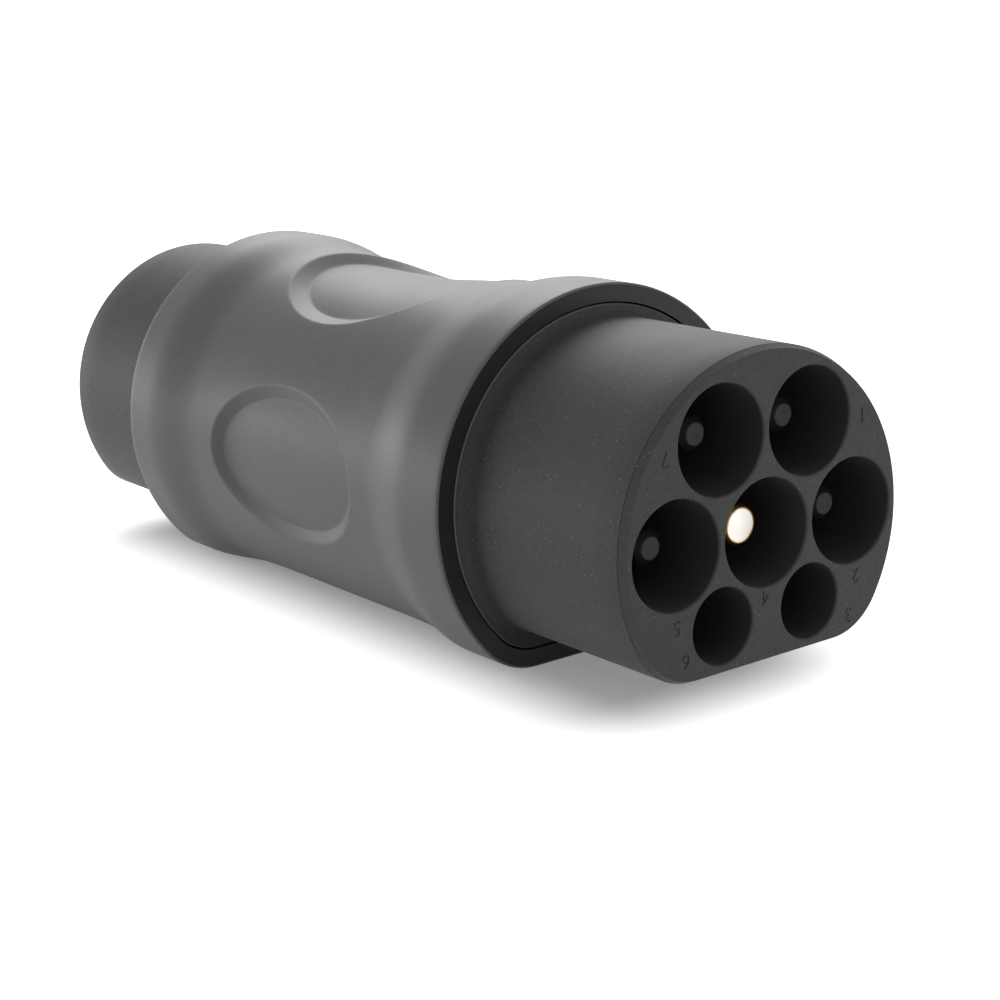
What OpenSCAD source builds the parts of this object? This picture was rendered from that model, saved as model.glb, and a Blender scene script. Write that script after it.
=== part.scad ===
// Straight charging adapter: a soft grip sleeve moulded over a rigid core, with a
// seven-pole contact block at each end. It lies on the long flat of the grip.

/* [Contact layout] */
// Distance from the earth contact to each neighbouring power contact
pole_pitch = 17.3; // [16.9:0.1:17.8]
// Drop of the two signal contacts below the earth contact
signal_drop = 12.1; // [11.5:0.1:13]
// Radius of the five power holes
power_hole_r = 8.05; // [7.4:0.05:8.3]
// Radius of the two signal holes
signal_hole_r = 5.7; // [4.8:0.1:5.9]
// Bevel at the mouth of each hole
hole_bevel = 0.4; // [0.2:0.1:0.6]

/* [Contact blocks] */
// Wall left around the holes, which sets the size of the nose
nose_wall = 1.72; // [1.4:0.01:2.4]
// Radius of the two corners of the nose beside its flat
nose_corner_r = 10.7; // [8:0.1:12]
// Length of the front nose, from its face to the collar
front_nose_len = 36.2; // [32:0.1:42]
// Length of the rear nose
rear_nose_len = 31.6; // [28:0.1:40]
// Narrowing of the nose at its face
face_taper = 0.5; // [0.3:0.1:0.9]
// Depth of the tapered band behind the face
taper_len = 1.3; // [0.8:0.1:2.5]
// Step at the mould's parting line, where the tapered band starts
parting_step = 0.05; // [0.03:0.01:0.15]
// How far the flange of a block stands out from its nose
flange_lip = 1.8; // [1.4:0.1:2.2]
// Thickness of that flange
flange_t = 4; // [3:0.1:5]
// Web between the floor of the holes and the front of the flange
web_above_flange = 4.2; // [3:0.1:6]

/* [Contacts] */
// Radius of a power contact
power_pin_r = 3; // [2.6:0.05:3.2]
// Radius of a signal contact
signal_pin_r = 1.5; // [1.2:0.05:1.7]
// How far the power contacts stop below the face
power_recess = 5.5; // [4.5:0.1:8]
// How far the signal contacts stop below the face
signal_recess = 13; // [10:0.1:16]
// Length of the insulating tip of a live contact
guard_len = 4.2; // [3.5:0.1:5.5]
// Radius of the flat end of that tip
guard_end_r = 1.75; // [1.3:0.05:2.2]
// How much a seated shank is thicker than its free end
shank_step = 0.25; // [0.2:0.05:0.4]
// How much the shoulder stands out from a contact
shoulder_step = 1.2; // [0.8:0.1:1.6]
// Length of the shoulder, which the retainer holds
shoulder_len = 1.5; // [1:0.1:1.8]
// Length of the solder barrel behind the retainer
barrel_len = 10; // [8:0.1:12]
// Depth of the hole in the barrel
barrel_bore_len = 9; // [7:0.1:9.5]
// Wall of the barrel
barrel_wall = 1.1; // [0.8:0.05:1.3]

/* [Core] */
// Width of the dark collar that shows around each block
collar_w = 2.5; // [2:0.1:3]
// Thickness of that collar
collar_t = 2.5; // [1.8:0.1:3.5]
// Wall of the cup behind the collar
cup_wall = 1.4; // [1.1:0.1:1.8]
// Wall of the tube between the two cups
tube_wall = 2.2; // [1.6:0.1:2.6]
// Inward lip that the flange and the retainer clamp between them
lip_w = 1.9; // [1.2:0.1:2.2]
// Thickness of that lip
lip_t = 2.6; // [2:0.1:4]
// Visible gap between flange and collar
seam_gap = 0.28; // [0.15:0.01:0.4]

/* [Grip] */
// Length of the grip between its two end faces
body_len = 95.6; // [88:0.1:120]
// Thin edge of the grip around the collar
sleeve_lip = 0.45; // [0.3:0.05:1]
// Height of the axis above the flat that the adapter lies on
rim_flat = 26.1; // [25.6:0.1:27.5]
// Radius of the two long edges beside the flat
rim_corner_r = 12.5; // [11.5:0.1:13.5]
// How much slimmer the grip is at its waist
waist_drop = 2.3; // [1:0.1:2.8]
// Grip wall over the tube at the waist
sleeve_wall = 2.7; // [2.3:0.1:3.4]
// Straight part of the grip behind the front face
front_land = 8.8; // [6:0.1:14]
// Length of the front flare
front_flare = 21; // [14:0.5:26]
// Straight part of the grip before the rear face
rear_land = 6.8; // [4.5:0.1:14]
// Length of the rear flare
rear_flare = 22; // [14:0.5:26]
// Rounding of the grip's outer edges
edge_r = 0.4; // [0.2:0.05:0.8]

/* [Recesses] */
// Half length of the finger scallop on top
scallop_half_len = 24.5; // [16:0.5:28]
// Half width of the scallop, measured around the grip
scallop_half_w = 21.7; // [14:0.1:24]
// Depth of the scallop at its rear end
scallop_depth = 1.9; // [1:0.1:2]
// Depth that is left at its front end
scallop_front_depth = 0.5; // [0.3:0.1:0.9]
// Slope of the scallop's wall, run for each millimetre of depth
scallop_slope = 1.9; // [1:0.1:2.5]
// How far the scallop sits behind the middle of the grip
scallop_shift = 2; // [-1:0.1:3]
// Half length of the oval dish on each side
dish_half_len = 21.6; // [12:0.1:23]
// Half height of the dish, measured around the grip
dish_half_h = 13.6; // [8:0.1:14.5]
// Depth of the dish
dish_depth = 1.5; // [0.8:0.1:1.8]
// Slope of its wall, run for each millimetre of depth
dish_slope = 1.3; // [0.8:0.1:2]
// How far the dishes sit behind the middle of the grip
dish_shift = 0.7; // [-2:0.1:2]

/* [Inner parts] */
// Thickness of the sealing ring behind each flange
gasket_t = 1.2; // [0.8:0.1:2]
// Thickness of the retainer plates
retainer_t = 3; // [2.4:0.1:4]
// Distance of the retainer screws from the middle, sideways
screw_x = 13; // [12.5:0.1:13.4]
// Distance of the retainer screws from the middle, up and down
screw_z = 8.3; // [8:0.1:8.6]
// Core radius of the retainer screws
screw_r = 1.3; // [1:0.05:1.5]
// Radius of their heads
screw_head_r = 2.3; // [1.8:0.1:2.5]
// Height of their heads
screw_head_h = 1.6; // [1.2:0.1:2.2]
// Depth of the screws in the block
screw_reach = 7; // [5:0.1:9]
// Radius of a power wire over its insulation
power_wire_r = 2.5; // [2:0.05:2.6]
// Radius of a signal wire over its insulation
signal_wire_r = 1.2; // [0.9:0.05:1.3]
// Width of the coding resistor's board
board_w = 9; // [8:0.1:10]
// Height of that board
board_h = 6; // [5:0.1:6.4]
// Thickness of that board
board_t = 1.2; // [0.8:0.1:1.6]
// Height of the pegs that carry the board
peg_h = 1.5; // [1:0.1:3]
// Radius of those pegs
peg_r = 1; // [0.8:0.05:1.2]
// Radius of the coding resistor
resistor_r = 1.1; // [0.8:0.05:1.3]
// Length of the coding resistor
resistor_len = 6; // [4:0.1:7]

/* [Fits] */
// Gap between a moulding and the moulding inside it
slip = 0.25; // [0.15:0.05:0.3]
// Bond line between the grip and the core
bond_gap = 0.05; // [0.03:0.01:0.1]
// Gap between a metal part and the hole that guides it
metal_fit = 0.05; // [0.03:0.01:0.08]

/* [Hidden] */
POLES = ["phase_1", "phase_2", "phase_3", "neutral", "earth", "pilot", "proximity"];
LIVE = ["phase_1", "phase_2", "phase_3", "neutral"];
$fn = 96;

// Nose outline, from the holes and the wall around them
nose_r = pole_pitch + power_hole_r + nose_wall;
nose_flat = signal_drop + signal_hole_r + nose_wall;
// Bevel at the holes, no wider than the wall between two of them allows
mouth_bevel = min(hole_bevel, 0.7 * (pole_pitch / 2 - power_hole_r));
// Grip outline, from the nose outwards
rim_r = nose_r + flange_lip + seam_gap + collar_w + sleeve_lip;
waist_r = rim_r - waist_drop;
// Outlines inside the grip, each given as its offset from the rim outline
collar_off = -sleeve_lip;
cup_off = collar_off - collar_w;
flange_off = cup_off - seam_gap;
tube_off = -waist_drop - sleeve_wall;
bore_off = tube_off - tube_wall;
lip_off = bore_off - lip_w;
// Depths behind the collar plane
cup_floor = flange_t + gasket_t;
block_end = cup_floor + lip_t;
barrel_end = block_end + retainer_t + barrel_len;
// Ends of the adapter, with the middle of its length at the origin
total_len = front_nose_len + body_len + rear_nose_len;
front_collar_y = -total_len / 2 + front_nose_len;
rear_collar_y = total_len / 2 - rear_nose_len;
grey = [0.40, 0.40, 0.41];
dark_grey = [0.27, 0.27, 0.28];
black = [0.07, 0.07, 0.07];
silver = [0.80, 0.78, 0.74];
eps = 0.01;
// how far the corners of a D outline stand proud, so that they cross its large arc
join_proud = 0.05;

// Smooth step from 0 at a to 1 at b
function ease(a, b, x) = let (t = max(0, min(1, (x - a) / (b - a)))) t * t * (3 - 2 * t);

// Radius of the grip at a depth behind its front face
function grip_r(d) = waist_r + waist_drop * (1 - ease(front_land, front_land + front_flare, d)
    + ease(body_len - rear_land - rear_flare, body_len - rear_land, d));

// Where a pole sits, seen from the face of its own block
function pole_at(p) =
    p == "phase_1" ? [pole_pitch, 0] :
    p == "neutral" ? [-pole_pitch, 0] :
    p == "phase_2" ? [pole_pitch / 2, pole_pitch * sin(60)] :
    p == "phase_3" ? [-pole_pitch / 2, pole_pitch * sin(60)] :
    p == "pilot" ? [-pole_pitch / 2, -signal_drop] :
    p == "proximity" ? [pole_pitch / 2, -signal_drop] : [0, 0];
function is_signal(p) = p == "pilot" || p == "proximity";
function is_live(p) = len([for (q = LIVE) if (q == p) q]) > 0;
function hole_r(p) = is_signal(p) ? signal_hole_r : power_hole_r;
function pin_r(p) = is_signal(p) ? signal_pin_r : power_pin_r;
function barrel_r(p) = pin_r(p) + (is_signal(p) ? barrel_wall / 2 : 0);
function barrel_bore_r(p) = barrel_r(p) - barrel_wall;
function recess(p) = is_signal(p) ? signal_recess : power_recess;

// Frame of one end: z = 0 in the collar plane, z outwards, x and y across its face
module end_frame(end) {
    at_rear = end == "rear";
    translate([0, at_rear ? rear_collar_y : front_collar_y, rim_flat])
        rotate([0, 0, at_rear ? 180 : 0]) rotate([90, 0, 0]) children();
}
function nose_len(end) = end == "rear" ? rear_nose_len : front_nose_len;

// D outline: a circle of radius r with a flat h below its centre and corners of radius c
module d_outline(r, h, c) {
    centre_d = r - c + join_proud;
    corner_x = sqrt(pow(centre_d, 2) - pow(h - c, 2));
    join_y = -(h - c) * r / centre_d;
    intersection() {
        circle(r = r);
        translate([-r - 1, join_y]) square([2 * r + 2, 2 * r + 2]);
    }
    for (s = [-1, 1]) translate([s * corner_x, c - h]) circle(r = c);
    translate([-corner_x, -h]) square([2 * corner_x, h]);
}

// The rim outline of the grip, moved out by off
module rim_outline(off) d_outline(rim_r + off, rim_flat + off, rim_corner_r + off);

// Solid of a rim outline from depth a to depth b behind the collar plane
module rim_plate(off, a, b) translate([0, 0, -b]) linear_extrude(height = b - a) rim_outline(off);

// Sweep of a profile around a D outline; x of the profile is the distance outside it, and
// arc_lap is the angle by which the large arc runs on into each corner
module d_sweep(r, h, c, arc_lap) {
    corner_x = sqrt(pow(r - c + join_proud, 2) - pow(h - c, 2));
    join_a = atan2(c - h, corner_x);
    rotate([0, 0, join_a - arc_lap]) rotate_extrude(angle = 180 - 2 * join_a + 2 * arc_lap)
        translate([r, 0]) children();
    for (s = [0, 1]) mirror([s, 0, 0]) translate([corner_x, c - h, 0]) rotate([0, 0, -90])
        rotate_extrude(angle = 90 + join_a) translate([c, 0]) children();
    translate([-corner_x, -h, 0]) mirror([0, 1, 0]) rotate([90, 0, 90])
        linear_extrude(height = 2 * corner_x) children();
}

// Cutter for a sunk oval in the grip, wrapped around it: middle at depth d0 and
// angle a0, half axes la and lb, wall with the given slope, floor sunk by front to rear
RIM_STEPS = 64;
function oval_point(d0, a0, la, lb, k, off, t) = let (
        d = d0 + (la * k + off) * cos(t),
        arc = (lb * k + off) * sin(t))
    [d, a0 + arc / waist_r * 180 / PI];
function wrapped(p, lift) = let (r = grip_r(p[0]) + lift) [r * sin(p[1]), r * cos(p[1]), -p[0]];
function sunk(p, d0, la, front, rear) = front + (rear - front) * ease(d0 - la, d0, p[0]);
module oval_cutter(d0, a0, la, lb, slope, front, rear) {
    shrink = [0.72, 0.38];
    lid = [wrapped([d0, a0], 10)];
    mouth = [for (i = [0:RIM_STEPS - 1]) let (t = i * 360 / RIM_STEPS)
        wrapped(oval_point(d0, a0, la, lb, 1, slope, t), 1)];
    foot = [for (i = [0:RIM_STEPS - 1]) let (t = i * 360 / RIM_STEPS,
            edge = oval_point(d0, a0, la, lb, 1, 0, t),
            s = sunk(edge, d0, la, front, rear))
        wrapped(oval_point(d0, a0, la, lb, 1, -slope * s, t), -s)];
    floors = [for (k = shrink, i = [0:RIM_STEPS - 1]) let (t = i * 360 / RIM_STEPS,
            p = oval_point(d0, a0, la, lb, k, 0, t))
        wrapped(p, -sunk(p, d0, la, front, rear))];
    middle = [wrapped([d0, a0], -sunk([d0, a0], d0, la, front, rear))];
    rings = len(shrink) + 2;
    last = 1 + rings * RIM_STEPS;
    points = concat(lid, mouth, foot, floors, middle);
    faces = concat(
        [for (i = [0:RIM_STEPS - 1]) let (j = (i + 1) % RIM_STEPS) [0, 1 + i, 1 + j]],
        [for (g = [0:rings - 2], i = [0:RIM_STEPS - 1])
            let (j = (i + 1) % RIM_STEPS, a = 1 + g * RIM_STEPS, b = a + RIM_STEPS)
            each [[a + i, b + i, b + j], [a + i, b + j, a + j]]],
        [for (i = [0:RIM_STEPS - 1])
            let (j = (i + 1) % RIM_STEPS, a = 1 + (rings - 1) * RIM_STEPS) [a + i, last, a + j]]);
    polyhedron(points = points, faces = faces, convexity = 4);
}

// Tube along a list of points, with one radius for each point
SIDES = 8;
function unit(v) = v / norm(v);
function path_dir(path, i) = unit(path[min(i + 1, len(path) - 1)] - path[max(i - 1, 0)]);
function ring_points(path, i, r) = let (
        t = path_dir(path, i),
        u = unit(cross(t, [0, 0, 1])),
        v = cross(u, t))
    [for (k = [0:SIDES - 1]) let (a = (k + 0.5) * 360 / SIDES)
        path[i] + r * cos(a) * u + r * sin(a) * v];
module swept_tube(path, radii) {
    n = len(path);
    points = [for (i = [0:n - 1]) each ring_points(path, i, radii[i])];
    faces = concat(
        [[for (k = [0:SIDES - 1]) k]],
        [for (i = [0:n - 2], k = [0:SIDES - 1]) let (m = (k + 1) % SIDES)
            each [[i * SIDES + k, (i + 1) * SIDES + k, (i + 1) * SIDES + m],
                [i * SIDES + k, (i + 1) * SIDES + m, i * SIDES + m]]],
        [[for (k = [SIDES - 1:-1:0]) (n - 1) * SIDES + k]]);
    polyhedron(points = points, faces = faces, convexity = 6);
}

// Soft grip: revolved waist, cut flat below, sunk scallop and side dishes
GRIP_STEPS = 10;
function flare_depths(a, b) = [for (i = [0:GRIP_STEPS]) a + (b - a) * i / GRIP_STEPS];
module grip_sleeve() {
    rear_from = body_len - rear_land - rear_flare;
    depths = concat([edge_r], flare_depths(front_land, front_land + front_flare),
        flare_depths(rear_from, rear_from + rear_flare), [body_len - edge_r]);
    reach = 2 * rim_r;
    blank_r = (rim_r + tube_off) / 2;
    // the corner cutter crosses the rim at a slight angle, so the edge stays crisp
    corner_from_axis = rim_r - rim_corner_r + 3 * join_proud;
    corner_z = rim_flat - rim_corner_r;
    corner_x = sqrt(pow(corner_from_axis, 2) - pow(corner_z, 2));
    color(grey) end_frame("front") difference() {
        rotate_extrude() polygon(concat(
            [[blank_r, 0], [rim_r - edge_r, 0]],
            [for (d = depths) [grip_r(d), -d]],
            [[rim_r - edge_r, -body_len], [blank_r, -body_len]]));
        translate([-reach, -rim_flat - reach, -body_len - 1])
            cube([2 * reach, reach, body_len + 2]);
        for (s = [-1, 1]) translate([0, 0, -body_len - 1]) linear_extrude(height = body_len + 2)
            difference() {
                translate([s > 0 ? corner_x : -reach, -reach])
                    square([reach - corner_x, reach - corner_z * rim_r / corner_from_axis]);
                translate([s * corner_x, -corner_z]) circle(r = rim_corner_r);
            }
        rim_plate(collar_off + bond_gap, -1, collar_t + bond_gap);
        rim_plate(collar_off + bond_gap, body_len - collar_t - bond_gap, body_len + 1);
        rim_plate(cup_off + cup_wall + bond_gap, 0, cup_floor + lip_t + bond_gap);
        rim_plate(cup_off + cup_wall + bond_gap, body_len - cup_floor - lip_t - bond_gap, body_len);
        rim_plate(tube_off + bond_gap, 0, body_len);
        oval_cutter(body_len / 2 + scallop_shift, 0, scallop_half_len, scallop_half_w,
            scallop_slope, scallop_front_depth, scallop_depth);
        for (a = [-90, 90]) oval_cutter(body_len / 2 + dish_shift, a, dish_half_len, dish_half_h,
            dish_slope, dish_depth, dish_depth);
    }
}

// Rigid core: a D tube with a cup, a clamping lip and a collar at each end
module core_end(flip) {
    translate([0, 0, flip ? -body_len : 0]) mirror([0, 0, flip ? 1 : 0]) children();
}
module core_shell() {
    color(black) end_frame("front") difference() {
        union() {
            for (flip = [false, true]) core_end(flip) {
                rim_plate(collar_off, 0, collar_t);
                rim_plate(cup_off + cup_wall, eps, block_end);
            }
            rim_plate(tube_off, 1, body_len - 1);
        }
        for (flip = [false, true]) core_end(flip) rim_plate(cup_off, -1, cup_floor);
        rim_plate(lip_off, -1, body_len + 1);
        rim_plate(bore_off, block_end, body_len - block_end);
    }
}

// Contact block: nose with seven stepped holes, flange and spigot in one moulding
module nose_taper(face) {
    slope = (face_taper - parting_step) / taper_len;
    d_sweep(nose_r, nose_flat, nose_corner_r, 8) polygon([
        [-parting_step, face - taper_len], [1, face - taper_len], [1, face + 1],
        [-face_taper - slope, face + 1]]);
}
module contact_hole(p, face) {
    mouth_r = hole_r(p) + mouth_bevel + eps;
    rotate_extrude() polygon([
        [0, web_above_flange], [hole_r(p), web_above_flange], [hole_r(p), face - mouth_bevel],
        [mouth_r, face + eps], [mouth_r, face + 1], [0, face + 1]]);
}
module block(end) {
    face = nose_len(end);
    difference() {
        union() {
            linear_extrude(height = face) d_outline(nose_r, nose_flat, nose_corner_r);
            rim_plate(flange_off, -eps, flange_t);
            rim_plate(lip_off - slip, flange_t - eps, block_end);
        }
        nose_taper(face);
        for (p = POLES) translate(pole_at(p)) {
            contact_hole(p, face);
            translate([0, 0, -block_end - 1])
                cylinder(h = block_end + web_above_flange + 2, r = pin_r(p) + shank_step + metal_fit);
        }
        for (q = screw_places()) translate([q[0], q[1], -block_end - 1])
            cylinder(h = screw_reach + 1, r = screw_r + metal_fit);
    }
}
module front_block() color(dark_grey) end_frame("front") block("front");
module rear_block() color(dark_grey) end_frame("rear") block("rear");

// Flat sealing ring between a flange and the floor of its cup
module gasket() difference() {
    rim_plate(flange_off, flange_t, cup_floor);
    rim_plate(lip_off, flange_t - 1, cup_floor + 1);
}
module front_gasket() color(black) end_frame("front") gasket();
module rear_gasket() color(black) end_frame("rear") gasket();

// Plate that holds the shoulders of the contacts and clamps the lip of the core
function screw_places() = [for (x = [-screw_x, screw_x], z = [-screw_z, screw_z]) [x, z]];
board_y = -signal_drop;
module retainer(with_pegs) {
    difference() {
        union() {
            rim_plate(bore_off - slip, block_end, block_end + retainer_t);
            if (with_pegs) for (s = [-1, 1])
                translate([s * board_w / 3, board_y, -block_end - retainer_t - peg_h])
                    cylinder(h = peg_h + 1, r = peg_r);
        }
        for (p = POLES) translate([pole_at(p)[0], pole_at(p)[1], -block_end]) {
            translate([0, 0, -retainer_t - 1])
                cylinder(h = retainer_t + 2, r = barrel_r(p) + metal_fit);
            translate([0, 0, -shoulder_len])
                cylinder(h = shoulder_len + 1, r = pin_r(p) + shoulder_step + metal_fit);
        }
        for (q = screw_places()) translate([q[0], q[1], -block_end - retainer_t - 1])
            cylinder(h = retainer_t + 2, r = screw_r + 0.3);
    }
}
module front_retainer() color(grey) end_frame("front") retainer(true);
module rear_retainer() color(grey) end_frame("rear") retainer(false);

// Four pan head screws through a retainer
module retainer_screws() for (q = screw_places())
    translate([q[0], q[1], -block_end - retainer_t - screw_head_h]) {
        difference() {
            cylinder(h = screw_head_h, r = screw_head_r);
            translate([-screw_head_r, -0.3, -1]) cube([2 * screw_head_r, 0.6, 1.7]);
        }
        cylinder(h = screw_head_h + retainer_t + screw_reach - 0.5, r = screw_r);
    }
module front_retainer_screws() color(silver) end_frame("front") retainer_screws();
module rear_retainer_screws() color(silver) end_frame("rear") retainer_screws();

// Turned contact: free end, seated shank, shoulder and hollow solder barrel
module pin(end, p) {
    tip = nose_len(end) - recess(p) - (is_live(p) ? guard_len : 0);
    r = pin_r(p);
    bevel = is_live(p) ? 0.1 : 0.35 * r / power_pin_r;
    translate(pole_at(p)) difference() {
        rotate_extrude() polygon([
            [0, tip], [r - bevel, tip], [r, tip - bevel], [r, web_above_flange],
            [r + shank_step, web_above_flange], [r + shank_step, -block_end],
            [r + shoulder_step, -block_end], [r + shoulder_step, -block_end - shoulder_len],
            [barrel_r(p), -block_end - shoulder_len], [barrel_r(p), -barrel_end],
            [0, -barrel_end]]);
        translate([0, 0, -barrel_end - 1]) cylinder(h = barrel_bore_len + 1, r = barrel_bore_r(p));
        if (is_live(p)) translate([0, 0, tip - guard_stem_len])
            cylinder(h = guard_stem_len + 1, r = guard_stem_r + metal_fit);
    }
}

// Insulating tip of a live contact, pressed into the end of the metal by its stem
guard_stem_r = 1.1;
guard_stem_len = 4;
module guard(end, p) {
    top = nose_len(end) - recess(p);
    r = power_pin_r - 0.04;
    foot = top - guard_len;
    translate(pole_at(p)) rotate_extrude() polygon([
        [0, top], [guard_end_r - 0.15, top], [guard_end_r, top - 0.1],
        [(guard_end_r + r) / 2 + 0.15, top - 0.9], [r - 0.1, top - 1.8], [r, top - 2.3],
        [r, foot], [guard_stem_r, foot], [guard_stem_r, foot - guard_stem_len + 0.3],
        [0, foot - guard_stem_len + 0.3]]);
}

module front_pin(p) color(silver) end_frame("front") pin("front", p);
module rear_pin(p) color(silver) end_frame("rear") pin("rear", p);
module front_guard(p) color(dark_grey) end_frame("front") guard("front", p);
module rear_guard(p) color(dark_grey) end_frame("rear") guard("rear", p);

// Wire between the two barrels of one pole. The rear block faces the other way, so
// its poles are mirrored and the wires change sides around the straight earth wire.
WIRE_STEPS = 12;
strip_len = 0.4;
function wire_lift(p) = power_wire_r * (
    p == "phase_1" ? 2.52 : p == "neutral" ? -2.52 :
    p == "phase_2" ? 1.44 : p == "phase_3" ? -1 :
    p == "pilot" ? 0.4 : p == "proximity" ? -1.2 : 0);
module wire(p) {
    q = pole_at(p);
    insulation_r = is_signal(p) ? signal_wire_r : power_wire_r;
    copper_r = barrel_bore_r(p) - metal_fit;
    start_y = front_collar_y + barrel_end - barrel_bore_len;
    end_y = rear_collar_y - barrel_end + barrel_bore_len;
    free_a = front_collar_y + barrel_end + 1;
    free_b = rear_collar_y - barrel_end - 1;
    z0 = rim_flat + q[1];
    run = [for (i = [0:WIRE_STEPS]) let (s = i / WIRE_STEPS)
        [q[0] * cos(180 * s), free_a + (free_b - free_a) * s,
            z0 + wire_lift(p) * pow(sin(180 * s), 2)]];
    path = concat(
        [[q[0], start_y, z0], [q[0], free_a - 1 + strip_len / 2, z0],
            [q[0], free_a - 1 + strip_len, z0]],
        run,
        [[-q[0], free_b + 1 - strip_len, z0], [-q[0], free_b + 1 - strip_len / 2, z0],
            [-q[0], end_y, z0]]);
    radii = concat([copper_r, copper_r], [for (i = [0:WIRE_STEPS + 2]) insulation_r],
        [copper_r, copper_r]);
    swept_tube(path, radii);
}
module phase_1_wire() color("brown") wire("phase_1");
module phase_2_wire() color("dimgray") wire("phase_2");
module phase_3_wire() color("gray") wire("phase_3");
module neutral_wire() color("royalblue") wire("neutral");
module earth_wire() color("gold") wire("earth");
module pilot_wire() color("white") wire("pilot");
module proximity_wire() color("orange") wire("proximity");

// Small board with the resistor that tells the rated current
module coding_board() color("darkgreen") end_frame("front")
    translate([-board_w / 2, board_y - board_h / 2, -block_end - retainer_t - peg_h - board_t])
        cube([board_w, board_h, board_t]);
module coding_resistor() color("tan") end_frame("front")
    translate([-resistor_len / 2, board_y, -block_end - retainer_t - peg_h - board_t - resistor_r])
        rotate([0, 90, 0]) cylinder(h = resistor_len, r = resistor_r);

grip_sleeve();
core_shell();
front_block();
rear_block();
front_gasket();
rear_gasket();
front_retainer();
rear_retainer();
front_retainer_screws();
rear_retainer_screws();
for (p = POLES) front_pin(p);
for (p = POLES) rear_pin(p);
for (p = LIVE) front_guard(p);
for (p = LIVE) rear_guard(p);
phase_1_wire();
phase_2_wire();
phase_3_wire();
neutral_wire();
earth_wire();
pilot_wire();
proximity_wire();
coding_board();
coding_resistor();
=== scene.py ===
import math
from collections import namedtuple

import bmesh
import bpy
from mathutils import Euler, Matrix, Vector


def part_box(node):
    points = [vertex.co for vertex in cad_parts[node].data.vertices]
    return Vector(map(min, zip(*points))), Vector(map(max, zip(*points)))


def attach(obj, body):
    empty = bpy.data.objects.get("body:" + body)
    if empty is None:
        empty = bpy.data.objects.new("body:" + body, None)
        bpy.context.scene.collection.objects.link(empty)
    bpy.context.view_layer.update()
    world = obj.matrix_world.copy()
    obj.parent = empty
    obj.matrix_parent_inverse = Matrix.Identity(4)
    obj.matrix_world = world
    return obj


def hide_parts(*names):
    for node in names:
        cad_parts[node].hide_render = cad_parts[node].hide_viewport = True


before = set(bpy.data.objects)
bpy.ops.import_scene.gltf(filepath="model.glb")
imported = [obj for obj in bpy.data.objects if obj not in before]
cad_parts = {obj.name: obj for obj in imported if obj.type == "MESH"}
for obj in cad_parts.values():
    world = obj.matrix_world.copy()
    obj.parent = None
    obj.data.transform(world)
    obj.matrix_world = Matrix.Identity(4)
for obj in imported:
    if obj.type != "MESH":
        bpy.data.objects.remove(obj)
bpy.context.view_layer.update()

# Camera: a long lens, low at the left of the front face. Its place and turn were worked out
# from the outlines and holes of the photograph.
MM = 0.001
CAMERA_AT = Vector((-203.34, -288.95, 108.13)) * MM
CAMERA_TURN = Euler([math.radians(a) for a in (75.235, 1.949, -37.457)])
LENS, SENSOR = 75.48, 36
bpy.ops.object.select_all(action="DESELECT")
bpy.ops.object.camera_add(location=CAMERA_AT, rotation=CAMERA_TURN)
camera = bpy.context.object
camera.name = "camera"
camera.data.lens = LENS
camera.data.sensor_width = SENSOR
camera.data.clip_start = 10 * MM
bpy.context.scene.camera = camera

# Studio: a white floor that keeps the soft shadow beside the object; further out it glows up to pure
# white, painted light that wipes the shadow out there. White all round for camera and gloss. A large
# softbox hangs high behind at the right, a low one stands behind, and weak ones stand low at the left
# and in front at the right.
scene = bpy.context.scene
scene.view_settings.view_transform = "Standard"
FLOOR_SIZE, FLOOR_GAP = 6.0, 0.02 * MM
bpy.ops.mesh.primitive_plane_add(size=FLOOR_SIZE, location=(0, 0, -FLOOR_GAP))
floor = bpy.context.object
floor.name = "floor"


class Reading:
    """One output of a material's node. Sums and products of readings add Math nodes."""

    def __init__(self, tree, out):
        self.tree = tree
        self.out = out

    def math(self, operation, first, second):
        return add_node(self.tree, "ShaderNodeMath", {"operation": operation}, {0: first, 1: second})

    def __add__(self, other):
        return self.math("ADD", self, other)

    def __sub__(self, other):
        return self.math("SUBTRACT", self, other)

    def __rsub__(self, other):
        return self.math("SUBTRACT", other, self)

    def __mul__(self, other):
        return self.math("MULTIPLY", self, other)

    def __lt__(self, other):
        return self.math("LESS_THAN", self, other)

    def __gt__(self, other):
        return self.math("GREATER_THAN", self, other)

    __radd__ = __add__
    __rmul__ = __mul__


def add_node(tree, kind, settings, sockets, out=0):
    """Adds a node: its settings first, then a value or a link for each named socket."""
    node = tree.nodes.new(kind)
    for name, value in settings.items():
        if name == "stops":
            ramp = node.color_ramp
            while len(ramp.elements) < len(value):
                ramp.elements.new(0.5)
            for element, (place, color) in zip(ramp.elements, value):
                element.position = place
                element.color = color
        else:
            setattr(node, name, value)
    for name, value in sockets.items():
        if isinstance(value, Reading):
            tree.links.new(value.out, node.inputs[name])
        else:
            node.inputs[name].default_value = value
    return Reading(tree, node.outputs[out]) if node.outputs else None


def grey(level):
    return (level, level, level, 1)


def new_material(name):
    material = bpy.data.materials.new(name)
    material.use_nodes = True
    material.node_tree.nodes.clear()
    return material, material.node_tree


def finish_material(tree, shader):
    add_node(tree, "ShaderNodeOutputMaterial", {}, {"Surface": shader})


def object_place(tree):
    return add_node(tree, "ShaderNodeTexCoord", {}, {}, "Object")


def vector_math(tree, operation, *vectors, out="Vector"):
    return add_node(tree, "ShaderNodeVectorMath", {"operation": operation}, dict(enumerate(vectors)), out)


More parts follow.
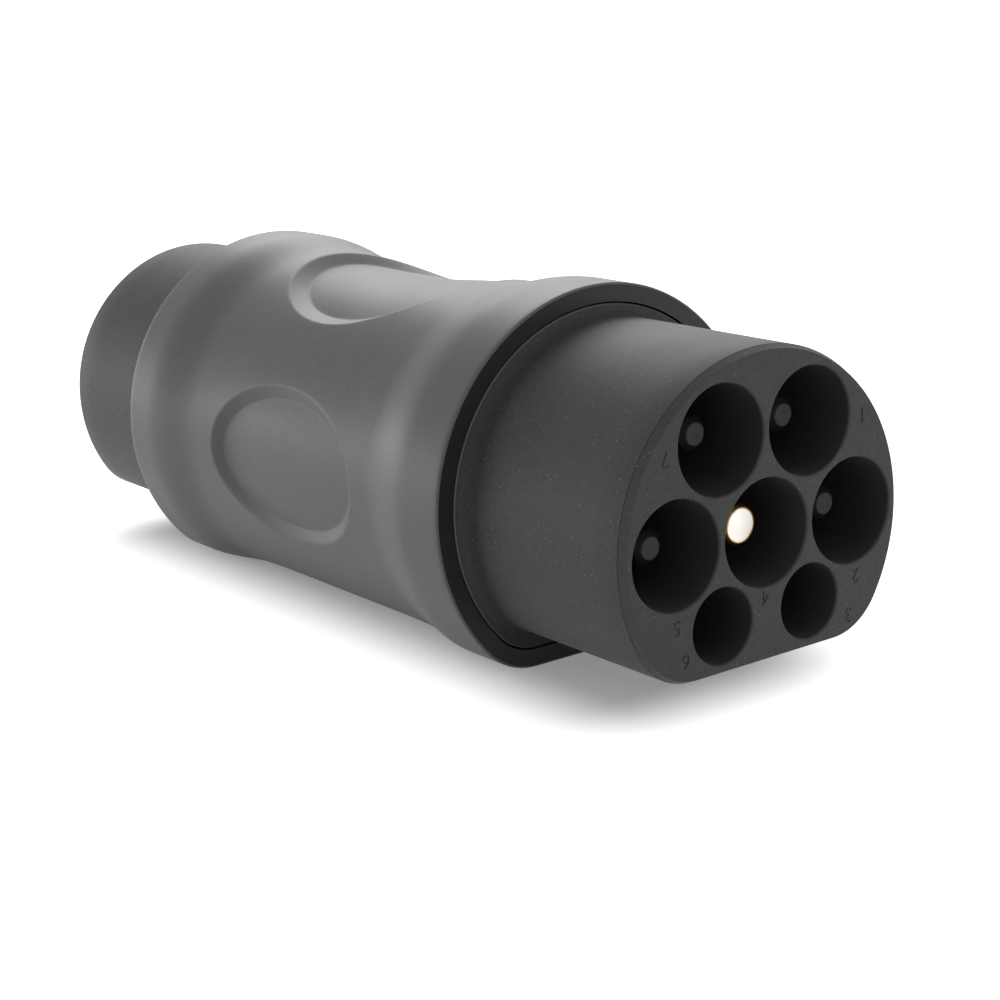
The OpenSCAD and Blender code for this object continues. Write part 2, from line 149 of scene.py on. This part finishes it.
def white_ray(tree):
    """1 on rays that show the background: from the camera, off gloss and through glass."""
    camera_ray = add_node(tree, "ShaderNodeLightPath", {}, {}, "Is Camera Ray")
    glossy_ray = add_node(tree, "ShaderNodeLightPath", {}, {}, "Is Glossy Ray")
    through_ray = add_node(tree, "ShaderNodeLightPath", {}, {}, "Is Transmission Ray")
    return camera_ray + glossy_ray + through_ray > 0.5


# half width and half length of the strip of floor that gets no more than the near lift of painted glow
SHADOW_HALF = (14 * MM, 64 * MM, 0)
NEAR_LIFT, FAR_LIFT, FADE = 0.22, 1.0, 24 * MM
floor_paint, tree = new_material("floor_paint")
size = vector_math(tree, "ABSOLUTE", object_place(tree))
outside = vector_math(tree, "MAXIMUM", vector_math(tree, "SUBTRACT", size, SHADOW_HALF), (0, 0, 0))
away = vector_math(tree, "LENGTH", outside, out="Value")
fade = add_node(tree, "ShaderNodeMapRange", {"interpolation_type": "SMOOTHSTEP"}, {
    "Value": away, "From Min": 0.0, "From Max": FADE, "To Min": NEAR_LIFT, "To Max": FAR_LIFT})
# painted light: the floor glows on rays that show the background. The glow is low in the strip round the
# object, where its shadow shows, and full further out, where it paints the shadow away
painted_glow = add_node(tree, "ShaderNodeEmission", {}, {"Color": grey(1), "Strength": white_ray(tree) * fade})
matt = add_node(tree, "ShaderNodeBsdfDiffuse", {}, {"Color": grey(0.86)})
finish_material(tree, add_node(tree, "ShaderNodeAddShader", {}, {0: matt, 1: painted_glow}))
floor.data.materials.append(floor_paint)

ROOM_LIGHT = 0.35
studio = bpy.data.worlds.new("studio")
scene.world = studio
studio.use_nodes = True
tree = studio.node_tree
tree.nodes.clear()
strength = white_ray(tree) * (1 - ROOM_LIGHT) + ROOM_LIGHT
sky = add_node(tree, "ShaderNodeBackground", {}, {"Color": grey(1), "Strength": strength})
add_node(tree, "ShaderNodeOutputWorld", {}, {"Surface": sky})
LAMP_AIM = Vector((0, 0, 30)) * MM


def softbox(name, place, size, watts):
    bpy.ops.object.light_add(type="AREA", location=place)
    lamp = bpy.context.object
    lamp.name = name
    lamp.data.shape = "RECTANGLE"
    lamp.data.size, lamp.data.size_y = size
    lamp.data.energy = watts
    lamp.rotation_euler = (LAMP_AIM - Vector(place)).to_track_quat("-Z", "Y").to_euler()


softbox("high_softbox", (0.62, 0.85, 0.75), (0.8, 0.7), 7.1)
softbox("back_softbox", (-0.35, 1.3, 0.08), (1.5, 0.16), 4.0)
softbox("left_softbox", (-1.0, 0.5, 0.05), (0.7, 0.10), 0.95)
softbox("front_softbox", (0.5, -1.0, 0.5), (0.6, 0.6), 0.9)

# Grip: a sleeve of soft grey rubber, moulded over the core. It is slimmer at its waist and flat
# below, with a finger scallop on top and an oval dish on each side. It is drawn ring by ring,
# pressed in at the recesses, and closed through the tube inside.
GRIP_LOW, GRIP_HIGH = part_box("grip_sleeve")
GRIP_LEN = GRIP_HIGH[1] - GRIP_LOW[1]
RIM_R = GRIP_HIGH[0]
AXIS_Z = GRIP_HIGH[2] - RIM_R
RIM_CORNER = 12.5 * MM
WAIST_DROP = 2.3 * MM
WAIST_R = RIM_R - WAIST_DROP
FRONT_LAND, REAR_LAND = 8.8 * MM, 6.8 * MM
FLARE_STEEP, FLARE_TAIL, STEEP_SHARE = 13 * MM, 23 * MM, 0.75
EDGE_R, EDGE_STEPS = 0.4 * MM, 4
GRIP_AROUND = 288
GRIP_SMOOTH = math.radians(35)
MERGE = 0.001 * MM


def ease(low, high, x):
    """Smooth step from 0 at low to 1 at high."""
    t = min(1, max(0, (x - low) / (high - low)))
    return t * t * (3 - 2 * t)


def flare_fall(run):
    """Share of the fall from rim to waist at a distance behind the rim: steep first, then a tail."""
    steep, tail = ease(0, FLARE_STEEP, run), ease(0, FLARE_TAIL, run)
    return STEEP_SHARE * steep + (1 - STEEP_SHARE) * tail


def grip_r(depth):
    """Radius of the grip at a depth behind its front face."""
    front = 1 - flare_fall(depth - FRONT_LAND)
    rear = 1 - flare_fall(GRIP_LEN - REAR_LAND - depth)
    return WAIST_R + WAIST_DROP * (front + rear)


def d_radius(angle, r, flat, corner):
    """Distance from the axis to a D outline, at an angle from the top."""
    corner_z = corner - flat
    corner_x = math.sqrt((r - corner) ** 2 - corner_z ** 2)
    x, z = abs(math.sin(angle)), math.cos(angle)
    turned = math.atan2(x, z)
    if turned <= math.atan2(corner_x, corner_z):
        return r
    if turned < math.atan2(corner_x, -flat):
        along = x * corner_x + z * corner_z
        return along + math.sqrt(along ** 2 - corner_x ** 2 - corner_z ** 2 + corner ** 2)
    return flat / -z


def place_ring(verts, y, r, flat, corner):
    """Puts a ring of vertices on a D outline; each keeps its own angle around the axis."""
    for vert in verts:
        angle = math.atan2(vert.co.x, vert.co.z - AXIS_Z)
        out = d_radius(angle, r, flat, corner)
        vert.co = (out * math.sin(angle), y, AXIS_Z + out * math.cos(angle))


def start_ring(name, around, y, r, flat, corner):
    """A circle of vertices round the axis, set on a D outline, left in edit mode."""
    bpy.ops.object.select_all(action="DESELECT")
    bpy.ops.mesh.primitive_circle_add(vertices=around, radius=r, location=(0, y, AXIS_Z),
                                      rotation=(math.pi / 2, 0, 0))
    piece = bpy.context.object
    piece.name = name
    bpy.ops.object.transform_apply(location=True, rotation=True, scale=True)
    place_ring(piece.data.vertices, y, r, flat, corner)
    bpy.ops.object.mode_set(mode="EDIT")
    return piece


def draw_ring(piece, y, r, flat, corner):
    """Extrudes the selected ring and sets the new one on its own D outline."""
    bpy.ops.mesh.extrude_edges_move()
    mesh = bmesh.from_edit_mesh(piece.data)
    place_ring([v for v in mesh.verts if v.select], y, r, flat, corner)
    bmesh.update_edit_mesh(piece.data)


def rounded_edge(radius, steps):
    """(inset, rise) pairs of a quarter round, from the side of a wall onto its end face."""
    turns = [math.pi / 2 * i / steps for i in range(1, steps + 1)]
    return [(radius * (1 - math.cos(t)), radius * math.sin(t)) for t in turns]


def select_by(piece, kind, test):
    """In edit mode, selects the vertices, edges or faces that pass a test."""
    bpy.ops.mesh.select_all(action="DESELECT")
    mesh = bmesh.from_edit_mesh(piece.data)
    for element in getattr(mesh, kind):
        if test(element):
            element.select_set(True)
    mesh.select_flush_mode()
    bmesh.update_edit_mesh(piece.data)


# each recess: its middle as depth and angle, half length, half width round the grip, depth at
# the front and rear, and the run of its wall for each millimetre of depth
Recess = namedtuple("Recess", "middle side half_len half_w front_deep rear_deep slope")
MIDDLE = GRIP_LEN / 2
SCALLOP = Recess(MIDDLE + 2 * MM, 0, 23.9 * MM, 20.9 * MM, 0.5 * MM, 1.9 * MM, 1.55)
DISHES = [Recess(MIDDLE + 0.7 * MM, side, 21.6 * MM, 13.6 * MM, 1.5 * MM, 1.5 * MM, 1.3)
          for side in (-math.pi / 2, math.pi / 2)]
RECESSES = [SCALLOP] + DISHES
LIP_SOFTNESS = 0.07


def inside_oval(recess, depth, angle):
    """How far a point lies inside the outline of a recess; negative outside it."""
    along = depth - recess.middle
    around = math.remainder(angle - recess.side, 2 * math.pi) * WAIST_R
    # both limits only count close to the middle, where the nearest outline isn't one point
    reach = max(0.05, math.hypot(along / recess.half_len, around / recess.half_w))
    steep = math.hypot(along / recess.half_len ** 2, around / recess.half_w ** 2) / reach
    return (1 - reach) / max(steep, 0.2 / recess.half_len)


def soft_ramp(x):
    """0 below 0 and 1 above 1, with both bends rounded."""
    def bend(t):
        return (t + math.sqrt(t * t + LIP_SOFTNESS ** 2)) / 2
    return bend(x) - bend(x - 1)


def sink(depth, angle):
    """How deep the grip is pressed in at a point."""
    total = 0
    for recess in RECESSES:
        rearwards = ease(recess.middle - recess.half_len, recess.middle, depth)
        deep = recess.front_deep + (recess.rear_deep - recess.front_deep) * rearwards
        total += deep * soft_ramp(inside_oval(recess, depth, angle) / (recess.slope * deep))
    return total


def near_lip(face, band):
    """True for a face whose middle lies on the wall of a recess or close beside it."""
    middle = face.calc_center_median()
    depth = middle.y - GRIP_LOW[1]
    angle = math.atan2(middle.x, middle.z - AXIS_Z)
    for recess in RECESSES:
        wall = recess.slope * recess.rear_deep
        if -band < inside_oval(recess, depth, angle) < wall + band:
            return True
    return False


# rings stand a station apart, and the faces within each band of a recess's wall are split
STATION_STEP = 1.1 * MM
LIP_BANDS = (1.2 * MM, 0.5 * MM)
stations = max(2, round((GRIP_LEN - 2 * EDGE_R) / STATION_STEP))
depths = [EDGE_R + (GRIP_LEN - 2 * EDGE_R) * i / stations for i in range(stations + 1)]
grip = start_ring("grip", GRIP_AROUND, GRIP_LOW[1] + depths[0], RIM_R, AXIS_Z, RIM_CORNER)
bpy.ops.mesh.select_all(action="SELECT")
for depth in depths[1:]:
    draw_ring(grip, GRIP_LOW[1] + depth, grip_r(depth), AXIS_Z, RIM_CORNER)
for band in LIP_BANDS:
    select_by(grip, "faces", lambda face: near_lip(face, band))
    bpy.ops.mesh.subdivide(number_cuts=1)
mesh = bmesh.from_edit_mesh(grip.data)
for vert in mesh.verts:
    depth = vert.co.y - GRIP_LOW[1]
    angle = math.atan2(vert.co.x, vert.co.z - AXIS_Z)
    out = d_radius(angle, grip_r(depth), AXIS_Z, RIM_CORNER) - sink(depth, angle)
    vert.co = (out * math.sin(angle), vert.co.y, AXIS_Z + out * math.cos(angle))
bmesh.update_edit_mesh(grip.data)

# the rims turn in round the collars, and the two cups open into one tube
COLLAR_INSET, COLLAR_DEEP = 0.40 * MM, 2.55 * MM
CUP_INSET, CUP_DEEP = 1.5 * MM, 7.85 * MM
TUBE_INSET = 4.95 * MM
FACE_BACK = 0.02 * MM
for end, inward in ((GRIP_LOW[1], 1), (GRIP_HIGH[1], -1)):
    select_by(grip, "edges", lambda edge: edge.is_boundary
              and all(abs(v.co.y - end) < 2 * EDGE_R for v in edge.verts))
    rings = [(inset, EDGE_R - rise) for inset, rise in rounded_edge(EDGE_R - FACE_BACK, EDGE_STEPS)]
    rings += [(COLLAR_INSET, FACE_BACK), (COLLAR_INSET, COLLAR_DEEP), (CUP_INSET, COLLAR_DEEP),
              (CUP_INSET, CUP_DEEP), (TUBE_INSET, CUP_DEEP), (TUBE_INSET, GRIP_LEN / 2)]
    for inset, deep in rings:
        draw_ring(grip, end + inward * deep, RIM_R - inset, AXIS_Z - inset, RIM_CORNER - inset)
bpy.ops.mesh.select_all(action="SELECT")
bpy.ops.mesh.remove_doubles(threshold=MERGE)
bpy.ops.mesh.normals_make_consistent(inside=False)
bpy.ops.object.mode_set(mode="OBJECT")
bpy.ops.object.shade_smooth_by_angle(angle=GRIP_SMOOTH)


def noise(tree, place, scale, detail):
    return add_node(tree, "ShaderNodeTexNoise", {}, {"Vector": place, "Scale": scale, "Detail": detail})


def between(tree, low, high, share):
    """A colour that goes from low to high over the range where most of a noise lies."""
    return add_node(tree, "ShaderNodeValToRGB", {"stops": [(0.3, low), (0.7, high)]}, {"Fac": share})


def grain_relief(tree, place, scale, detail, strength, height):
    """A fine moulded grain, as a bump."""
    grain = noise(tree, place, scale, detail)
    return add_node(tree, "ShaderNodeBump", {}, {"Height": grain, "Strength": strength, "Distance": height})


def finish_solid(tree, sockets):
    """Ends a material in one Principled shader."""
    finish_material(tree, add_node(tree, "ShaderNodeBsdfPrincipled", {}, sockets))


grip_rubber, tree = new_material("grip_rubber")
place = object_place(tree)
clouds = noise(tree, place, 60, 4)
mottle = noise(tree, place, 1500, 4)
finish_solid(tree, {
    "Base Color": between(tree, grey(0.097), grey(0.131), clouds * 0.5 + mottle * 0.5),
    "Roughness": clouds * 0.1 + 0.42, "Specular IOR Level": 0.4,
    "Normal": grain_relief(tree, place, 3200, 2, 0.25, 0.06 * MM)})
grip.data.materials.append(grip_rubber)
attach(grip, "root")
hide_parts("grip_sleeve")


# Contact blocks: one hard dark moulding at each end, held by its flange in the cup of the core. The
# nose of seven stepped holes tapers in front of the mould's parting line and meets the flange in a
# hollow fillet, and a spigot behind the flange enters the core.
PITCH, SIGNAL_DROP = 17.3 * MM, 12.1 * MM
POWER_HOLE_R, SIGNAL_HOLE_R = 8.05 * MM, 5.7 * MM
POWER_PIN_R, SIGNAL_PIN_R = 3.0 * MM, 1.5 * MM
NOSE_R, NOSE_FLAT, NOSE_CORNER = 27.07 * MM, 19.52 * MM, 10.7 * MM
HOLES = {
    "phase_1": (PITCH, 0), "neutral": (-PITCH, 0), "earth": (0, 0),
    "phase_2": (PITCH / 2, PITCH * math.sin(math.pi / 3)),
    "phase_3": (-PITCH / 2, PITCH * math.sin(math.pi / 3)),
    "pilot": (-PITCH / 2, -SIGNAL_DROP), "proximity": (PITCH / 2, -SIGNAL_DROP),
}
# for each end: y of the face, y of the collar, and which way along y points out of the face
ENDS = {"front": (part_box("front_block")[0][1], GRIP_LOW[1], -1),
        "rear": (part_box("rear_block")[1][1], GRIP_HIGH[1], 1)}
BLOCK_AROUND, HOLE_AROUND = 240, 72
BLOCK_SMOOTH = math.radians(20)
WEB = 4.2 * MM
SHANK_GAP = 0.3 * MM
FACE_EDGE, FACE_EDGE_BEND = 0.25 * MM, 0.07 * MM
TAPER, TAPER_LEN = 0.5 * MM, 1.3 * MM
PARTING_STEP, PARTING_DEEP, PARTING_LIP = 0.05 * MM, 0.03 * MM, 0.02 * MM
PARTING_HALF_W, PARTING_END = 0.03 * MM, 0.1 * MM
ROOT_LIP, ROOT_LEN, ROOT_STEPS = 1.8 * MM, 3.0 * MM, 8
FLANGE_INSET, FLANGE_EDGE, FLANGE_DEEP = 3.23 * MM, 0.2 * MM, 4 * MM
SPIGOT_INSET, SPIGOT_DEEP = 9.35 * MM, 7.8 * MM
MOUTH, MOUTH_BEND_OUT, MOUTH_BEND_DEEP = 0.35 * MM, 0.1 * MM, 0.14 * MM
# a cutter starts behind its block, leaves the face at the mouth and runs on in front of it
CUTTER_START, CUTTER_PROUD, CUTTER_END = 50 * MM, 0.02 * MM, 1 * MM


def is_signal(pole):
    return pole in ("pilot", "proximity")


def hole_cutter(hole_r, shank_r, x, z, face, floor_y, out):
    """A stepped plug that cuts one hole with its flared mouth; out points out of the face."""
    bpy.ops.object.select_all(action="DESELECT")
    bpy.ops.mesh.primitive_circle_add(vertices=HOLE_AROUND, radius=shank_r, fill_type="NGON",
                                      location=(x, face - out * CUTTER_START, z),
                                      rotation=(math.pi / 2, 0, 0))
    cutter = bpy.context.object
    bpy.ops.object.transform_apply(location=True, rotation=True, scale=True)
    bpy.ops.object.mode_set(mode="EDIT")
    bpy.ops.mesh.select_all(action="SELECT")
    steps = [(shank_r, floor_y), (hole_r, floor_y), (hole_r, face - out * MOUTH),
             (hole_r + MOUTH_BEND_OUT, face - out * MOUTH_BEND_DEEP),
             (hole_r + MOUTH, face + out * CUTTER_PROUD), (hole_r + MOUTH, face + out * CUTTER_END)]
    for radius, y in steps:
        bpy.ops.mesh.extrude_region_move()
        mesh = bmesh.from_edit_mesh(cutter.data)
        for vert in mesh.verts:
            if vert.select:
                away = Vector((vert.co.x - x, 0, vert.co.z - z)).normalized() * radius
                vert.co = (x + away.x, y, z + away.z)
        bmesh.update_edit_mesh(cutter.data)
    bpy.ops.mesh.select_all(action="SELECT")
    bpy.ops.mesh.normals_make_consistent(inside=False)
    bpy.ops.object.mode_set(mode="OBJECT")
    return cutter


# a plain number beside each hole, upside down as the part lies: x and height from the axis, in mm
NUMBER_PLACES = [(19.3, 14.2), (18.2, -10.1), (16.7, -15.9), (-0.5, -9.5), (-17.5, -10.3),
                 (-15.9, -15.6), (-19.3, 14.2)]
NUMBER_SIZE, NUMBER_DEEP = 3.2 * MM, 0.12 * MM


def number_cutter(face, out):
    """The seven numbers as one thin solid that lies half in the face."""
    bpy.ops.object.select_all(action="DESELECT")
    digits = []
    for count, (x, up) in enumerate(NUMBER_PLACES):
        turn = (math.pi / 2, math.pi, 0) if out < 0 else (math.pi / 2, math.pi, math.pi)
        bpy.ops.object.text_add(location=(-out * x * MM, face, AXIS_Z + up * MM), rotation=turn)
        digit = bpy.context.object
        digit.data.body = str(count + 1)
        digit.data.size = NUMBER_SIZE
        digit.data.align_x = "CENTER"
        digit.data.align_y = "CENTER"
        digit.data.extrude = NUMBER_DEEP
        digit.data.resolution_u = 4
        bpy.ops.object.convert(target="MESH")
        digits.append(digit)
    for digit in digits:
        digit.select_set(True)
    bpy.context.view_layer.objects.active = digits[0]
    bpy.ops.object.join()
    bpy.ops.object.transform_apply(location=True, rotation=True, scale=True)
    bpy.ops.object.mode_set(mode="EDIT")
    bpy.ops.mesh.select_all(action="SELECT")
    bpy.ops.mesh.remove_doubles(threshold=MERGE)
    bpy.ops.mesh.normals_make_consistent(inside=False)
    bpy.ops.object.mode_set(mode="OBJECT")
    return bpy.context.object


def cut_with(piece, cutter):
    """Cuts the cutter's shape out of the piece, and removes the cutter."""
    bpy.context.view_layer.objects.active = piece
    cut = piece.modifiers.new("cut", "BOOLEAN")
    cut.object = cutter
    cut.solver = "EXACT"
    bpy.ops.object.modifier_apply(modifier="cut")
    bpy.data.objects.remove(cutter)


def contact_block(name, face, collar, out):
    """One block: rings drawn from the face back to the spigot, then seven holes cut out."""
    def at(inset, deep):
        return (face - out * deep, NOSE_R - inset, NOSE_FLAT - inset, NOSE_CORNER - inset)

    nose_len = abs(face - collar)
    piece = start_ring(name, BLOCK_AROUND, *at(TAPER + FACE_EDGE, 0))
    bpy.ops.mesh.select_all(action="SELECT")
    bpy.ops.mesh.edge_face_add()
    nose = [(TAPER + FACE_EDGE_BEND, FACE_EDGE_BEND), (TAPER, FACE_EDGE),
            (PARTING_STEP, TAPER_LEN - PARTING_HALF_W), (PARTING_STEP + PARTING_DEEP, TAPER_LEN),
            (PARTING_LIP, TAPER_LEN + PARTING_HALF_W), (0, TAPER_LEN + PARTING_END)]
    nose += [(0, nose_len * share) for share in (0.2, 0.4, 0.6, 0.8)]
    nose += [(-ROOT_LIP * (1 - math.cos(t)), nose_len - ROOT_LEN * (1 - math.sin(t)))
             for t in [math.pi / 2 * i / ROOT_STEPS for i in range(ROOT_STEPS)]]
    select_by(piece, "edges", lambda edge: True)
    for inset, deep in nose:
        draw_ring(piece, *at(inset, deep))
    flange = [(FLANGE_INSET + FLANGE_EDGE, 0), (FLANGE_INSET, FLANGE_EDGE), (FLANGE_INSET, FLANGE_DEEP),
              (SPIGOT_INSET, FLANGE_DEEP), (SPIGOT_INSET, SPIGOT_DEEP)]
    for inset, deep in flange:
        draw_ring(piece, collar - out * deep, RIM_R - inset, AXIS_Z - inset, RIM_CORNER - inset)
    bpy.ops.mesh.edge_face_add()
    bpy.ops.mesh.select_all(action="SELECT")
    bpy.ops.mesh.normals_make_consistent(inside=False)
    bpy.ops.object.mode_set(mode="OBJECT")
    floor_y = face - out * (nose_len - WEB)
    for pole, (x, up) in HOLES.items():
        hole_r, pin_r = (SIGNAL_HOLE_R, SIGNAL_PIN_R) if is_signal(pole) else (POWER_HOLE_R, POWER_PIN_R)
        cutter = hole_cutter(hole_r, pin_r + SHANK_GAP, -out * x, AXIS_Z + up, face, floor_y, out)
        cut_with(piece, cutter)
    cut_with(piece, number_cutter(face, out))
    bpy.ops.object.select_all(action="DESELECT")
    piece.select_set(True)
    bpy.context.view_layer.objects.active = piece
    bpy.ops.object.shade_smooth_by_angle(angle=BLOCK_SMOOTH)
    return piece


def assign(piece, material, test):
    """Gives the faces whose middle passes a test a material of their own."""
    piece.data.materials.append(material)
    piece.active_material_index = len(piece.data.materials) - 1
    bpy.ops.object.mode_set(mode="EDIT")
    select_by(piece, "faces", lambda facet: test(facet.calc_center_median()))
    bpy.ops.object.material_slot_assign()
    bpy.ops.object.mode_set(mode="OBJECT")


# how much wider than a bore, and how far below the face, a facet of its wall may lie
BORE_MARGIN, BORE_TOP = 0.05 * MM, 0.2 * MM


def inside_hole(middle, face, out):
    """True for a point below the mouths that lies within the bore of a hole."""
    for pole, (x, up) in HOLES.items():
        hole_r = SIGNAL_HOLE_R if is_signal(pole) else POWER_HOLE_R
        if math.hypot(middle.x + out * x, middle.z - AXIS_Z - up) < hole_r + BORE_MARGIN:
            return abs(middle.y - face) > BORE_TOP
    return False


def mixed(tree, share, first, second, blend="MIX"):
    """The first colour where share is 0; where it is 1, the second, or both as blend says."""
    return add_node(tree, "ShaderNodeMix", {"data_type": "RGBA", "blend_type": blend},
                    {0: share, 6: first, 7: second}, 2)


def dusted(tree, place, clouds, tone, amount):
    """Scatters specks of pale dust over a colour, more of them where the clouds are light."""
    spot = {"Vector": place, "Scale": 1100}
    near = add_node(tree, "ShaderNodeTexVoronoi", {}, spot, "Distance") < 0.09
    cell = add_node(tree, "ShaderNodeTexVoronoi", {}, spot, "Color")
    chance = add_node(tree, "ShaderNodeSeparateColor", {}, {"Color": cell}, "Red")
    speck = near * (chance < clouds * amount)
    return mixed(tree, speck * 0.7, tone, grey(0.45))


def plain_finish(name, level, roughness, metallic=0.0, tint=(1, 1, 1)):
    """A finish with small cloudy changes of tone and roughness."""
    material, tree = new_material(name)
    clouds = noise(tree, object_place(tree), 140, 4)
    low, high = [tuple(level * share * t for t in tint) + (1,) for share in (0.9, 1.1)]
    finish_solid(tree, {
        "Base Color": between(tree, low, high, clouds), "Roughness": clouds * 0.1 + (roughness - 0.05),
        "Metallic": metallic, "Specular IOR Level": 0.3})
    return material


# how far the painted shade along the parting line's groove reaches in front and behind, where the
# painted shade at the root, in the hollow by the collar, starts and is full in front of the collar,
# and the share of the half length that belongs to an end
LINE_FRONT, LINE_BACK = 0.07 * MM, 0.05 * MM
ROOT_SHADE_START, ROOT_SHADE_FULL = 6 * MM, 1 * MM
END_SHARE = 0.6
nose_plastic, tree = new_material("nose_plastic")
place = object_place(tree)
clouds = noise(tree, place, 90, 5)
mottle = noise(tree, place, 1500, 5)
tone = between(tree, grey(0.043), grey(0.075), clouds * 0.4 + mottle * 0.6)
along = add_node(tree, "ShaderNodeSeparateXYZ", {}, {"Vector": place}, "Y")
for face, collar, out in ENDS.values():
    depth = (face - along) * out
    nose_len = abs(face - collar)
    # painted shade: a thin dark line along the parting line, for the shade in its groove
    line = (depth > TAPER_LEN - LINE_FRONT) * (depth < TAPER_LEN + LINE_BACK)
    tone = mixed(tree, line, tone, grey(0.38), "MULTIPLY")
    # painted shade: the nose darkens towards its root in the hollow in front of the collar, on this end's
    # half only
    root = add_node(tree, "ShaderNodeMapRange", {"interpolation_type": "SMOOTHSTEP"}, {
        "Value": depth, "From Min": nose_len - ROOT_SHADE_START, "From Max": nose_len - ROOT_SHADE_FULL})
    same_end = depth < END_SHARE * abs(face)
    tone = mixed(tree, root * same_end, tone, grey(0.55), "MULTIPLY")
finish_solid(tree, {
    "Base Color": dusted(tree, place, clouds, tone, 0.85), "Roughness": clouds * 0.12 + 0.52,
    "Specular IOR Level": 0.3, "Normal": grain_relief(tree, place, 2600, 3, 0.35, 0.08 * MM)})
# painted shade: the walls of the holes get a darker, rougher plastic than the face, for the shade deep in
# the bores
hole_shade_plastic = plain_finish("hole_shade_plastic", 0.045, 0.62)
# painted highlight: the bevel round each flange's edge gets a lighter plastic, for the thin light line at
# the seam
edge_highlight_plastic = plain_finish("edge_highlight_plastic", 0.13, 0.45)
for end, (face, collar, out) in ENDS.items():
    block = contact_block(f"{end}_block_moulding", face, collar, out)
    block.data.materials.append(nose_plastic)
    flange_edge = abs(collar) - FLANGE_EDGE / 2
    assign(block, hole_shade_plastic, lambda middle: inside_hole(middle, face, out))
    assign(block, edge_highlight_plastic, lambda middle: abs(abs(middle.y) - flange_edge) < FLANGE_EDGE / 4)
    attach(block, "root")
    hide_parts(f"{end}_block")


# Core: a rigid tube of black plastic inside the grip, moulded first and covered by it. The blocks
# sit in its two cups, and only its collars show, as a dark ring round each block.
def paint(node, material):
    """Gives a CAD node its material."""
    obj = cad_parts[node]
    obj.data.materials.clear()
    obj.data.materials.append(material)


paint("core_shell", plain_finish("collar_plastic", 0.024, 0.42))

# Contacts: seven turned brass pins at each end, silvered, seated in the shank holes of the block
# and held there at their shoulders. The silver of the earth contacts has worn through to the brass
# round the end.
EARTH_FLAT_R = 2.45 * MM
WEAR_START, WEAR_SPREAD = 0.25 * MM, 0.5 * MM
silver = plain_finish("contact_silver", 0.78, 0.3, 1.0, (1, 0.97, 0.91))
earth_silver, tree = new_material("earth_silver")
place = object_place(tree)
clouds = noise(tree, place, 700, 4)
across = vector_math(tree, "MULTIPLY", vector_math(tree, "SUBTRACT", place, (0, 0, AXIS_Z)), (1, 0, 1))
from_axis = vector_math(tree, "LENGTH", across, out="Value")
worn = from_axis + clouds * WEAR_SPREAD > EARTH_FLAT_R + WEAR_START
finish_solid(tree, {
    "Base Color": mixed(tree, worn, (0.80, 0.76, 0.70, 1), (0.42, 0.25, 0.10, 1)),
    "Roughness": clouds * 0.15 + 0.25, "Metallic": 1.0})
for pole in HOLES:
    for end in ENDS:
        paint(f"{end}_{pole}_pin", earth_silver if pole == "earth" else silver)

# Guards: a tip of black plastic on each live contact, pressed by its stem into the end of the
# metal, so that a finger can't touch it. Its flat end is rubbed grey.
RUBBED_DEPTH = 0.05 * MM
GUARDED = ("phase_1", "phase_2", "phase_3", "neutral")


def tip_plastic(name, tip):
    """Black guard plastic, rubbed grey on the flat end at y of the tip."""
    material, tree = new_material(name)
    place = object_place(tree)
    clouds = noise(tree, place, 900, 3)
    along = add_node(tree, "ShaderNodeSeparateXYZ", {}, {"Vector": place}, "Y")
    rubbed = along * math.copysign(1, tip) > abs(tip) - RUBBED_DEPTH
    bare = between(tree, grey(0.048), grey(0.072), clouds)
    finish_solid(tree, {
        "Base Color": mixed(tree, rubbed, grey(0.008), bare), "Roughness": clouds * 0.1 + 0.5,
        "Specular IOR Level": 0.2})
    return material


TIPS = {"front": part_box("front_phase_1_guard")[0][1], "rear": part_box("rear_phase_1_guard")[1][1]}
for end, tip in TIPS.items():
    guard_finish = tip_plastic(f"{end}_tip_plastic", tip)
    for pole in GUARDED:
        paint(f"{end}_{pole}_guard", guard_finish)

# Wires: one for each pole, of copper in coloured insulation, soldered at both ends into the hollow
# barrels of its contacts. They lie in the core and only show when the adapter is taken apart.
WIRE_TINTS = {"phase_1": (0.22, 0.1, 0.05), "phase_2": (0.03, 0.03, 0.03), "phase_3": (0.3, 0.3, 0.3),
              "neutral": (0.05, 0.12, 0.45), "earth": (0.5, 0.55, 0.05), "pilot": (0.75, 0.75, 0.75),
              "proximity": (0.7, 0.3, 0.05)}
for pole, tint in WIRE_TINTS.items():
    paint(f"{pole}_wire", plain_finish(f"{pole}_insulation", 1, 0.4, 0, tint))

# Seals, retainers and screws: behind each flange lies a flat rubber seal, and behind each block a
# moulded plate that holds the shoulders of the contacts, with four steel pan head screws.
seal_rubber = plain_finish("seal_rubber", 0.03, 0.6)
plate_plastic = plain_finish("plate_plastic", 0.3, 0.5)
steel = plain_finish("screw_steel", 0.6, 0.35, 1.0)
for end in ENDS:
    paint(f"{end}_gasket", seal_rubber)
    paint(f"{end}_retainer", plate_plastic)
    paint(f"{end}_retainer_screws", steel)

# Coding board: a small green circuit board with one resistor that tells the rated current. It
# stands on the pegs of the front retainer, inside the core.
paint("coding_board", plain_finish("board_green", 1, 0.4, 0, (0.03, 0.18, 0.07)))
paint("coding_resistor", plain_finish("resistor_tan", 1, 0.4, 0, (0.55, 0.42, 0.25)))
